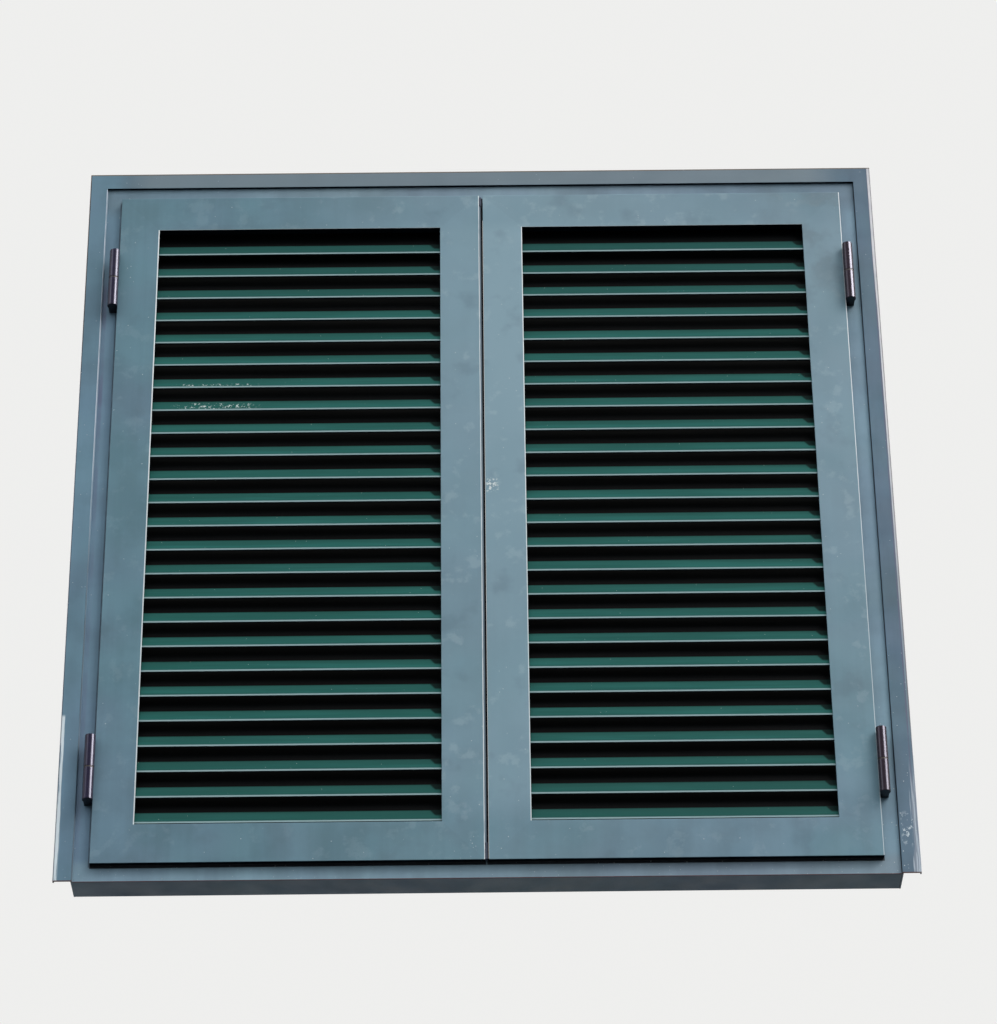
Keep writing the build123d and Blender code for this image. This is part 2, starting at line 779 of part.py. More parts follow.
for name, (tip, way) in bolt_ends.items():
    with BuildPart() as flush_bolt:
        ends = span(tip, tip - way * bolt_l)
        half = bolt_w / 2
        block((bolt_x - half, bolt_y - half, ends[0]), (bolt_x + half, bolt_y + half, ends[1]))
        knob_z = tip - way * (bolt_l - knob_from_tail)
        block(
            (bolt_x - knob_w / 2, bolt_y, knob_z - knob_l / 2),
            (bolt_x + knob_w / 2, bolt_y + bolt_body_d / 2 + knob_out, knob_z + knob_l / 2),
        )
    flush_bolt.part.label = f"flush_bolt_{name}"
    export_step(flush_bolt.part, f"parts/flush_bolt_{name}.step")

# Keeps in the head and the sill: pockets open to the inside, one for a rod and one for a bolt
for name, (face_z, way) in {"top": (frame_in_top, -1), "bottom": (frame_face, 1)}.items():
    with BuildPart() as keeps:
        z_low, z_high = span(face_z, face_z + way * keep_h)
        for x, front, half in (
            (rod_x, rod_front - rod_clear, rod_w / 2 + keep_clear),
            (bolt_x, bolt_y - bolt_w / 2 - rod_clear, bolt_w / 2 + keep_clear),
        ):
            back = front + keep_depth
            outer = half + keep_wall
            block((x - outer, front - keep_wall, z_low), (x + outer, back, z_high))
            block((x - half, front, z_low), (x + half, back, z_high), Mode.SUBTRACT)
    keeps.part.label = f"keeps_{name}"
    export_step(keeps.part, f"parts/keeps_{name}.step")
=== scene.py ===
import bmesh
import bpy
import json
import math
from mathutils import Matrix, Vector


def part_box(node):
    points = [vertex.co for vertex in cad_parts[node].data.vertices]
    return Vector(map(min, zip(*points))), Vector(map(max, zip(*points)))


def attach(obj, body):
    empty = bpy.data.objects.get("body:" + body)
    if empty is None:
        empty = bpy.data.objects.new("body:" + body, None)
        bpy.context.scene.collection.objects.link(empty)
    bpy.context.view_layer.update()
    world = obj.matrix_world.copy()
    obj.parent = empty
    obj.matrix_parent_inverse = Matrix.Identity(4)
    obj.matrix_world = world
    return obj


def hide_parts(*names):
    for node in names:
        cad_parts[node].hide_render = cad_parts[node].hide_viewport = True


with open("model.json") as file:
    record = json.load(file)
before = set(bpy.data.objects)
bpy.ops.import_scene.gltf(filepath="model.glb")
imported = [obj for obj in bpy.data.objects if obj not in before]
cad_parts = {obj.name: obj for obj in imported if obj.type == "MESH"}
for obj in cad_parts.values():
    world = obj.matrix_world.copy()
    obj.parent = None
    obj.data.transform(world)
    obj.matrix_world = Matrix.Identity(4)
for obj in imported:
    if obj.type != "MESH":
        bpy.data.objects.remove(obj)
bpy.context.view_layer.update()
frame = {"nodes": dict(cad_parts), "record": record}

# Place and light: pale ground far below the shutters, a soft sky that is dimmer overhead, a high
# sun from the right of the front, suns that fill the shade and the inner side, and two soft boxes
# that only gloss shows, as the streaks on the hinges.
scene = bpy.context.scene
scene.view_settings.view_transform = "Standard"
ground_z = -3.9
ground_half_size = 40.0
ground_color = (0.375, 0.374, 0.368, 1)
ground_color_in_shade = (0.04, 0.04, 0.04, 1)


def add_node(tree, kind, settings=None, **sockets):
    """A shader node with its settings and its inputs, given by name with _ for a space."""
    new = tree.nodes.new("ShaderNode" + kind)
    for name, value in (settings or {}).items():
        setattr(new, name, value)
    for name, value in sockets.items():
        key = int(name[2:]) if name.startswith("in") and name[2:].isdigit() else name.replace("_", " ")
        if isinstance(value, bpy.types.NodeSocket):
            tree.links.new(value, new.inputs[key])
        else:
            new.inputs[key].default_value = value
    return new


def seen_share(tree):
    """One for rays that show a picture of the surroundings: from the camera, mirrored or through glass."""
    path = add_node(tree, "LightPath")
    share = path.outputs["Is Camera Ray"]
    for kind in ("Is Glossy Ray", "Is Transmission Ray"):
        share = add_node(tree, "Math", {"operation": "ADD", "use_clamp": True}, in0=share,
                         in1=path.outputs[kind]).outputs[0]
    return share


ground_mesh = bpy.data.meshes.new("ground")
bm = bmesh.new()
bmesh.ops.create_grid(bm, x_segments=1, y_segments=1, size=ground_half_size)
bmesh.ops.translate(bm, vec=(0, 0, ground_z), verts=bm.verts)
bm.to_mesh(ground_mesh)
bm.free()
ground = bpy.data.objects.new("ground", ground_mesh)
scene.collection.objects.link(ground)
ground_paint = bpy.data.materials.new("pale_ground")
ground_paint.use_nodes = True
tree = ground_paint.node_tree
seen = tree.nodes["Principled BSDF"]
seen.inputs["Base Color"].default_value = ground_color
seen.inputs["Roughness"].default_value = 0.9
dim = add_node(tree, "BsdfDiffuse", Color=ground_color_in_shade)
mix = add_node(tree, "MixShader", Fac=seen_share(tree), in1=dim.outputs[0], in2=seen.outputs[0])
tree.links.new(mix.outputs[0], tree.nodes["Material Output"].inputs["Surface"])
ground_mesh.materials.append(ground_paint)

shutter_middle = Vector((0, 0, 0.6))
lamp_distance = 5.0


def aimed_lamp(name, kind, azimuth, elevation, power, color):
    """A lamp aimed at the shutters from an azimuth (0 is the front, 90 the right) and an elevation."""
    lamp = bpy.data.lights.new(name, kind)
    lamp.energy = power
    lamp.color = color
    place = bpy.data.objects.new(name, lamp)
    a, e = math.radians(azimuth), math.radians(elevation)
    out = Vector((math.sin(a) * math.cos(e), -math.cos(a) * math.cos(e), math.sin(e)))
    place.location = shutter_middle + out * lamp_distance
    place.rotation_euler = (-out).to_track_quat("-Z", "Y").to_euler()
    scene.collection.objects.link(place)
    return place


for name, azimuth, elevation, strength, spread, color in (
    ("high_right_light", 57, 52, 1.62, 36, (1.0, 0.98, 0.95)),
    ("low_right_light", 50, 31, 0.66, 36, (1.0, 1.0, 1.0)),
    ("low_left_light", -55, 31, 0.24, 40, (1.0, 1.0, 1.0)),
    ("front_fill", -25, 66, 0.8, 40, (0.97, 0.985, 1.0)),
    ("inner_fill_left", 205, 32, 1.9, 40, (1.0, 0.99, 0.97)),
    ("inner_fill_right", 140, 38, 1.4, 40, (0.97, 0.98, 1.0)),
):
    aimed_lamp(name, "SUN", azimuth, elevation, strength, color).data.angle = math.radians(spread)
soft_box_elevation = 32
soft_box_height = 2.4
for name, azimuth, power, width, color in (
    ("right_gloss", 60, 720, 3.0, (0.98, 0.97, 1.0)),
    ("left_gloss", -55, 40, 1.6, (0.80, 0.86, 1.0)),
):
    soft_box = aimed_lamp(name, "AREA", azimuth, soft_box_elevation, power, color)
    soft_box.data.shape = "RECTANGLE"
    soft_box.data.size = width
    soft_box.data.size_y = soft_box_height
    soft_box.visible_camera = False
    soft_box.visible_diffuse = False

sky_color = (0.92, 0.96, 1.0, 1)
sky_color_seen = (0.86, 0.86, 0.85, 1)
sky_strength = 0.975
world = bpy.data.worlds.new("pale_sky")
scene.world = world
world.use_nodes = True
tree = world.node_tree
direction = add_node(tree, "TexCoord").outputs["Generated"]
height = add_node(tree, "SeparateXYZ", Vector=direction).outputs["Z"]
above_ground = add_node(tree, "MapRange", From_Min=-0.02, From_Max=0.06, To_Min=0.05, To_Max=sky_strength,
                        Value=height)
overhead = add_node(tree, "MapRange", From_Min=0.70, From_Max=0.90, To_Min=1.0, To_Max=0.35, Value=height)
glow = add_node(tree, "Math", {"operation": "MULTIPLY"}, in0=above_ground.outputs[0], in1=overhead.outputs[0])
sky_light = tree.nodes["Background"]
sky_light.inputs["Color"].default_value = sky_color
tree.links.new(glow.outputs[0], sky_light.inputs["Strength"])
sky_seen = add_node(tree, "Background", Color=sky_color_seen)
mix = add_node(tree, "MixShader", Fac=seen_share(tree), in1=sky_light.outputs[0], in2=sky_seen.outputs[0])
tree.links.new(mix.outputs[0], tree.nodes["World Output"].inputs["Surface"])

# Camera: a long lens in front of the shutters and well below them, looking up at them, turned a
# little to the right and rolled by less than a degree.
camera_data = bpy.data.cameras.new("front_camera")
camera_data.lens = 133.35
camera_data.sensor_width = 36
camera = bpy.data.objects.new("front_camera", camera_data)
scene.collection.objects.link(camera)
scene.camera = camera
camera.location = (0.0024, -4.9894, -2.3743)
look_up, look_right, roll = math.radians(30.967), math.radians(0.233), math.radians(-0.687)
ahead = Vector((
    math.sin(look_right) * math.cos(look_up),
    math.cos(look_right) * math.cos(look_up),
    math.sin(look_up),
))
level_right = Vector((math.cos(look_right), -math.sin(look_right), 0))
level_up = level_right.cross(ahead)
right = level_right * math.cos(roll) + level_up * math.sin(roll)
up = level_up * math.cos(roll) - level_right * math.sin(roll)
camera.rotation_mode = "QUATERNION"
camera.rotation_quaternion = Matrix((right, up, -ahead)).transposed().to_quaternion()

# Frame members: mitred aluminium extrusions with a trim flange, powder coated; the blue-grey is a dark green
# coat with a painted reflection of the sky, and the tones are set to paint in light. The coat is rain-marked,
# with painted sheen, painted glints on edges, painted shade in the corners, beside the left leaf, under the
# edges and under the leaves, and a painted reflection of the hinges on the left jamb, and old sealant is
# smeared along the flange.
member_edge = 0.0007
mitre_edge = 0.00012
long_edge = 0.2
facet_angle = math.radians(1)
sharp_angle = math.radians(14)
body_of_node = {}
for body, nodes in frame["record"]["behaviour"]["bodies"].items():
    for name in nodes:
        body_of_node[name] = body
slot_of_node = {part["node"]: part["material_slot"] for part in frame["record"]["subparts"]}


def dressed_copy(name, paint, edge, end_edge=None, least_angle=30):
    """A painted copy of a CAD piece, standing for it, with its facets merged and its edges rounded.

    Edges that turn by more than least_angle are rounded by edge. With end_edge, only the long ones
    are, and those of the cut ends are rounded by end_edge."""
    mesh = frame["nodes"][name].data.copy()
    mesh.name = name + "_eased"
    bm = bmesh.new()
    bm.from_mesh(mesh)
    bmesh.ops.remove_doubles(bm, verts=bm.verts, dist=1e-6)
    bmesh.ops.dissolve_limit(bm, angle_limit=facet_angle, verts=bm.verts, edges=bm.edges)
    corners = [e for e in bm.edges if e.calc_face_angle(0) > math.radians(least_angle)]
    ends = []
    if end_edge:
        ends = [e for e in corners if e.calc_length() < long_edge]
        corners = [e for e in corners if e.calc_length() >= long_edge]
    bmesh.ops.bevel(bm, geom=corners, offset=edge, offset_type="OFFSET", segments=2, profile=0.5,
                    affect="EDGES", clamp_overlap=True, material=-1)
    if ends:
        ends = [e for e in ends if e.is_valid]
        bmesh.ops.bevel(bm, geom=ends, offset=end_edge, offset_type="OFFSET", segments=1, profile=0.5,
                        affect="EDGES", clamp_overlap=True, material=-1)
    for face in bm.faces:
        face.smooth = True
    for e in bm.edges:
        e.smooth = e.calc_face_angle(0) < sharp_angle
    bm.to_mesh(mesh)
    bm.free()
    mesh.materials.clear()
    mesh.materials.append(paint)
    piece = bpy.data.objects.new(mesh.name, mesh)
    scene.collection.objects.link(piece)
    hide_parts(name)
    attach(piece, body_of_node[name])
    return piece


def principled(name):
    """A new material, its tree and its shader."""
    material = bpy.data.materials.new(name)
    material.use_nodes = True
    return material, material.node_tree, material.node_tree.nodes["Principled BSDF"]


def own_place(tree):
    """Where a point lies on the piece, in the piece's own coordinates."""
    return add_node(tree, "TexCoord").outputs["Object"]


def own_facing(tree):
    """Which way the piece's surface faces, in the piece's own coordinates."""
    return add_node(tree, "TexCoord").outputs["Normal"]


def axis(tree, vector, letter):
    """One axis of a place or a facing."""
    return add_node(tree, "SeparateXYZ", Vector=vector).outputs[letter]


def noise(tree, place, scale, detail=3.0, roughness=0.55):
    """The grey value of a cloud pattern."""
    clouds = add_node(tree, "TexNoise", Vector=place, Scale=scale, Detail=detail, Roughness=roughness)
    return clouds.outputs[0]


def streaked(tree, place, scales, detail=3.0):
    """A cloud pattern drawn out along the axes with a small scale."""
    return noise(tree, add_node(tree, "Mapping", Vector=place, Scale=scales).outputs[0], 1.0, detail)


def ramp(tree, value, start, end, low=0.0, high=1.0):
    """A value eased from low to high between start and end."""
    return add_node(tree, "MapRange", {"interpolation_type": "SMOOTHSTEP"}, Value=value, From_Min=start,
                    From_Max=end, To_Min=low, To_Max=high).outputs[0]


def math_node(tree, operation, a, b=0.0):
    """One reckoning with one or two values."""
    return add_node(tree, "Math", {"operation": operation}, in0=a, in1=b).outputs[0]


def times(tree, *values):
    """The product of several values."""
    product = values[0]
    for value in values[1:]:
        product = math_node(tree, "MULTIPLY", product, value)
    return product


def plus(tree, *values):
    """The sum of several values."""
    total = values[0]
    for value in values[1:]:
        total = math_node(tree, "ADD", total, value)
    return total


def largest(tree, *values):
    """The largest of several values."""
    most = values[0]
    for value in values[1:]:
        most = math_node(tree, "MAXIMUM", most, value)
    return most


def band(tree, value, low, high, soft=0.0003):
    """One between low and high, and nothing outside, with soft ends."""
    return times(tree, ramp(tree, value, low - soft, low + soft), ramp(tree, value, high + soft, high - soft))


def blend_color(tree, amount, a, b):
    """Colour a, with b over it by amount."""
    new = tree.nodes.new("ShaderNodeMix")
    new.data_type = "RGBA"
    for key, value in ((0, amount), (6, a), (7, b)):
        if isinstance(value, bpy.types.NodeSocket):
            tree.links.new(value, new.inputs[key])
        else:
            new.inputs[key].default_value = value if not isinstance(value, tuple) else (value + (1.0,))[:4]
    return new.outputs[2]


def layer(tree, color, coating, *shares):
    """A colour with a coating over it, by the product of the shares."""
    return blend_color(tree, times(tree, *shares), color, coating)


def shaded(tree, color, shade):
    """A colour made lighter or darker."""
    return add_node(tree, "VectorMath", {"operation": "SCALE"}, in0=color, Scale=shade).outputs[0]


def weathered(tree, place, color, cooler):
    """Colour of an old powder coat: soft clouds of two tints, patches and rain streaks."""
    clouds = noise(tree, place, 3.4, 3.0, 0.5)
    patches = noise(tree, place, 12.0, 4.0, 0.55)
    rain = streaked(tree, place, (42, 42, 2.2))
    shade = plus(tree, ramp(tree, clouds, 0.30, 0.70, 0.91, 1.09),
                 ramp(tree, patches, 0.36, 0.66, 0.08, -0.09), ramp(tree, rain, 0.35, 0.70, -0.04, 0.05))
    tint_share = ramp(tree, noise(tree, place, 4.6, 2.0), 0.38, 0.62)
    return shaded(tree, blend_color(tree, tint_share, color, cooler), shade)


def specks(tree, place, size, share, where):
    """Small dried drops, thinned out to some places."""
    cells = add_node(tree, "TexVoronoi", Vector=place, Scale=size)
    dots = ramp(tree, cells.outputs["Distance"], 0.16, 0.08)
    chosen = add_node(tree, "SeparateColor", Color=cells.outputs["Color"]).outputs[0]
    return times(tree, dots, ramp(tree, chosen, 1 - share, 1 - share + 0.02), where)


def uneven_roughness(tree, shader, pattern, least, most):
    """A roughness that follows a pattern between two limits."""
    tree.links.new(ramp(tree, pattern, 0.3, 0.7, least, most), shader.inputs["Roughness"])


def sprayed_skin(tree, place, shader, pattern, least=0.40, most=0.56, gloss=0.20):
    """The fine orange-peel skin of a sprayed coat, with its roughness and its gloss."""
    uneven_roughness(tree, shader, pattern, least, most)
    shader.inputs["Specular IOR Level"].default_value = gloss
    skin = add_node(tree, "Bump", Height=noise(tree, place, 900.0, 2.0), Strength=0.10, Distance=0.0002)
    tree.links.new(skin.outputs[0], shader.inputs["Normal"])


head_low, head_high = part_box("frame_head")
sill_low, sill_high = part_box("frame_sill")
stile_low, stile_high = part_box("right_hinge_stile")
outer_x, outer_z = head_high.x, head_high.z
flange_front_y, face_front_y = head_low.y, sill_low.y
step_x = sill_high.x
step_z = outer_z - (outer_x - step_x)
leaf_side_x = stile_high.x
dried_drops = (0.50, 0.56, 0.58)

frame_paint, tree, shader = principled("frame_coat")
place = own_place(tree)
x, y, z = (axis(tree, place, letter) for letter in "XYZ")
across = math_node(tree, "ABSOLUTE", x)
outward = ramp(tree, axis(tree, own_facing(tree), "Y"), -0.25, -0.5)
downward = ramp(tree, axis(tree, own_facing(tree), "Z"), -0.35, -0.6)
on_face = times(tree, ramp(tree, y, flange_front_y + 0.0010, flange_front_y + 0.0022), outward)

# These tones paint in light: the faces grow lighter to the right and the head lighter in the middle as painted
# sheen, the sill is lighter against the shade of the leaves over it, and the left flange is lighter than the
# others.
flange_right, flange_left = (0.076, 0.142, 0.192), (0.110, 0.206, 0.268)
face_left, face_right = (0.136, 0.238, 0.316), (0.176, 0.290, 0.362)
head_ends, head_middle = (0.128, 0.205, 0.258), (0.182, 0.270, 0.322)
sill_left, sill_right = (0.198, 0.318, 0.386), (0.182, 0.262, 0.316)
violet_tint = (0.120, 0.135, 0.280)
flange_tone = blend_color(tree, ramp(tree, x, -0.56, -0.60), flange_right, flange_left)
face_tone = blend_color(tree, ramp(tree, x, -0.45, 0.50), face_left, face_right)
head_tone = blend_color(tree, ramp(tree, across, 0.48, 0.20), head_ends, head_middle)
face_tone = layer(tree, face_tone, head_tone, ramp(tree, z, 1.170, 1.205))
sill_tone = blend_color(tree, ramp(tree, x, -0.3, 0.3), sill_left, sill_right)
face_tone = layer(tree, face_tone, sill_tone, ramp(tree, z, 0.040, 0.022))
tone = layer(tree, flange_tone, face_tone, on_face)
color = weathered(tree, place, tone, layer(tree, tone, violet_tint, 0.13))

head_dust = (0.165, 0.215, 0.245)
color = layer(tree, color, head_dust, outward, ramp(tree, z, step_z - 0.002, step_z + 0.002, 0.0, 0.80),
              ramp(tree, across, 0.600, 0.520))
# A violet streak on the left jamb face, strongest by the upper hinge and fainter lower down: a painted
# reflection of the hinges.
hinge_reflection_violet = (0.110, 0.122, 0.210)
color = layer(tree, color, hinge_reflection_violet, band(tree, x, -0.6015, -0.5945, 0.002), on_face,
              ramp(tree, z, 1.13, 1.02), ramp(tree, noise(tree, place, 9.0), 0.38, 0.58, 0.15, 0.75),
              ramp(tree, z, 0.55, 0.90, 0.35, 1.0))
# Painted shade: a dark line on the frame face along the outer edge of the left leaf.
shade_beside_leaf = (0.040, 0.066, 0.092)
color = layer(tree, color, shade_beside_leaf, band(tree, x, -leaf_side_x - 0.0032, -leaf_side_x + 0.004),
              ramp(tree, z, 1.212, 1.204), on_face, ramp(tree, z, 0.021, 0.025),
              ramp(tree, noise(tree, place, 26.0), 0.30, 0.60, 0.45, 0.85))

white_sealant, grey_sealant, thin_sealant = (0.62, 0.70, 0.74), (0.235, 0.270, 0.325), (0.42, 0.49, 0.56)
brushed = streaked(tree, place, (260, 260, 11), 4.0)
left_reach = plus(tree, x, times(tree, brushed, 0.006))
color = layer(tree, color, white_sealant, outward, ramp(tree, left_reach, -0.6200, -0.6212),
              ramp(tree, z, 0.274, 0.267), ramp(tree, brushed, 0.42, 0.51, 0.22, 1.0))
right_reach = plus(tree, x, times(tree, z, -0.020), times(tree, brushed, 0.010))
right_smear = times(tree, outward, ramp(tree, right_reach, 0.6238, 0.6256), ramp(tree, z, 0.19, 0.12))
color = layer(tree, color, grey_sealant, right_smear, 0.75)
color = layer(tree, color, thin_sealant, right_smear, ramp(tree, brushed, 0.50, 0.58), 0.9)

violet_line, right_edge_glint, grey_line = (0.115, 0.095, 0.165), (0.72, 0.71, 0.73), (0.145, 0.138, 0.148)
patches = noise(tree, place, 16.0)
color = layer(tree, color, violet_line, band(tree, x, 0.6238, 0.6256, 0.0006), outward,
              ramp(tree, patches, 0.30, 0.55, 0.45, 1.0), ramp(tree, z, 0.10, 0.20, 0.0, 0.6))
# A pale line painted as a glint along the right outer edge, reaching further inward near the top and stronger
# higher up.
line_reach = plus(tree, x, ramp(tree, z, 0.96, 1.08, 0.0040, 0.0052))
color = layer(tree, color, right_edge_glint, ramp(tree, line_reach, outer_x - 0.0002, outer_x + 0.0004),
              ramp(tree, patches, 0.30, 0.55, 0.70, 1.0), ramp(tree, z, 0.12, 0.85, 0.0, 0.95))
color = layer(tree, color, grey_line, ramp(tree, x, outer_x - 0.0019, outer_x - 0.0013),
              ramp(tree, z, 0.10, 0.30, 0.0, 0.90))
plaster_blots = (0.50, 0.58, 0.62)
color = layer(tree, color, plaster_blots, band(tree, x, 0.606, 0.622, 0.003),
              band(tree, z, 0.050, 0.092, 0.012), outward, ramp(tree, noise(tree, place, 120.0), 0.57, 0.61))
dark_edge, brown_edge, brown_top = (0.052, 0.056, 0.085), (0.050, 0.036, 0.028), (0.135, 0.100, 0.068)
color = layer(tree, color, dark_edge, ramp(tree, x, -0.6280, -0.6288, 0.0, 0.75))
color = layer(tree, color, brown_edge, ramp(tree, x, -0.6279, -0.6286), ramp(tree, z, 0.80, 1.05), 0.85)
color = layer(tree, color, brown_top, ramp(tree, z, outer_z - 0.0028, outer_z - 0.0018, 0.0, 0.85))

step_glint, step_darker_low, right_step_shade = (0.50, 0.56, 0.64), (0.028, 0.048, 0.066), (0.004, 0.012, 0.022)
on_step = times(tree, band(tree, x, -step_x - 0.0012, -step_x + 0.0004), outward,
                ramp(tree, noise(tree, place, 22.0), 0.30, 0.55, 0.45, 1.0),
                ramp(tree, z, step_z, step_z - 0.004))
# A pale glint is painted on the upper part of the left step, and the step is darker towards the bottom.
color = layer(tree, color, step_glint, on_step, ramp(tree, z, 0.46, 0.80))
color = layer(tree, color, step_darker_low, on_step, ramp(tree, z, 0.66, 0.42, 0.0, 0.8))
# Painted shade: a dark line along the right step, where the flange stands proud of the face.
color = layer(tree, color, right_step_shade, band(tree, x, step_x - 0.0010, step_x + 0.0003),
              ramp(tree, y, flange_front_y, flange_front_y + 0.002),
              ramp(tree, z, step_z + 0.0012, step_z + 0.0004))
shadow_under_leaves, shade_under_edges = (0.0020, 0.0045, 0.0075), (0.003, 0.009, 0.016)
# Painted shadow: a black band on the frame just under the leaves, less dark below the gap between them where
# light comes through.
lit_below_gap = times(tree, band(tree, x, -0.0016, 0.0004, 0.0004), 0.55)
color = layer(tree, color, shadow_under_leaves, band(tree, z, 0.0215, 0.040, 0.0005),
              ramp(tree, across, leaf_side_x + 0.0016, leaf_side_x + 0.0004), on_face,
              math_node(tree, "SUBTRACT", 1.0, lit_below_gap))
# Painted shade on the faces in front of the frame face that look down.
color = layer(tree, color, shade_under_edges, downward,
              ramp(tree, y, face_front_y + 0.0001, face_front_y - 0.0003))

small_drops, red_foot = (0.42, 0.47, 0.50), (0.085, 0.030, 0.030)
low_right = times(tree, ramp(tree, x, 0.56, 0.60), ramp(tree, z, 0.42, 0.20), outward)
on_sill = times(tree, ramp(tree, z, 0.026, 0.022), outward)
color = layer(tree, color, dried_drops, specks(tree, place, 150.0, 0.30, low_right))
color = layer(tree, color, dried_drops, specks(tree, place, 260.0, 0.20, on_sill))
color = layer(tree, color, small_drops, specks(tree, place, 210.0, 0.05, outward))
color = layer(tree, color, red_foot, ramp(tree, z, 0.0016, 0.0008), outward)
tree.links.new(color, shader.inputs["Base Color"])
sprayed_skin(tree, place, shader, noise(tree, place, 20.0))

# A dark matte coat for the faces that look down: painted shade.
underside_soot, tree, shader = principled("underside_soot")
place = own_place(tree)
deepest_underside_shade, softer_underside_shade = (0.0020, 0.0060, 0.0105), (0.0040, 0.0095, 0.0150)
color = blend_color(tree, ramp(tree, noise(tree, place, 60.0), 0.35, 0.65), deepest_underside_shade, softer_underside_shade)
tree.links.new(color, shader.inputs["Base Color"])
uneven_roughness(tree, shader, noise(tree, place, 300.0), 0.85, 0.95)
shader.inputs["Specular IOR Level"].default_value = 0.0
foot_z = 0.005


def member_with_shaded_undersides(name, paint):
    """A frame or leaf member, with painted shade (a dark matte coat) on its faces that look down, but for the
    foot of the frame.
    """
    member = dressed_copy(name, paint, member_edge, mitre_edge)
    member.data.materials.append(underside_soot)
    for face in member.data.polygons:
        if face.normal.z < -0.6 and face.center.z > foot_z:
            face.material_index = 1


for name in ("frame_head", "frame_jamb_left", "frame_jamb_right", "frame_sill"):
    member_with_shaded_undersides(name, frame_paint)

# Leaf members: the same extrusions with a flat lip over the frame and round the louvres, four to a leaf, held
# by cleats inside. Their blue-grey is a dark green coat with a painted reflection of the sky; a paler tone
# toward the middle and on the right leaf is painted sheen, pale lines on the free edges are painted glints, and
# the faces that look down carry painted shade.
inner_low, inner_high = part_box("right_meeting_stile")
opening_outer_x = stile_low.x
opening_inner_x = inner_high.x
opening_bottom_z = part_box("left_bottom_rail")[1].z
opening_top_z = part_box("left_top_rail")[0].z
meeting_x = inner_low.x


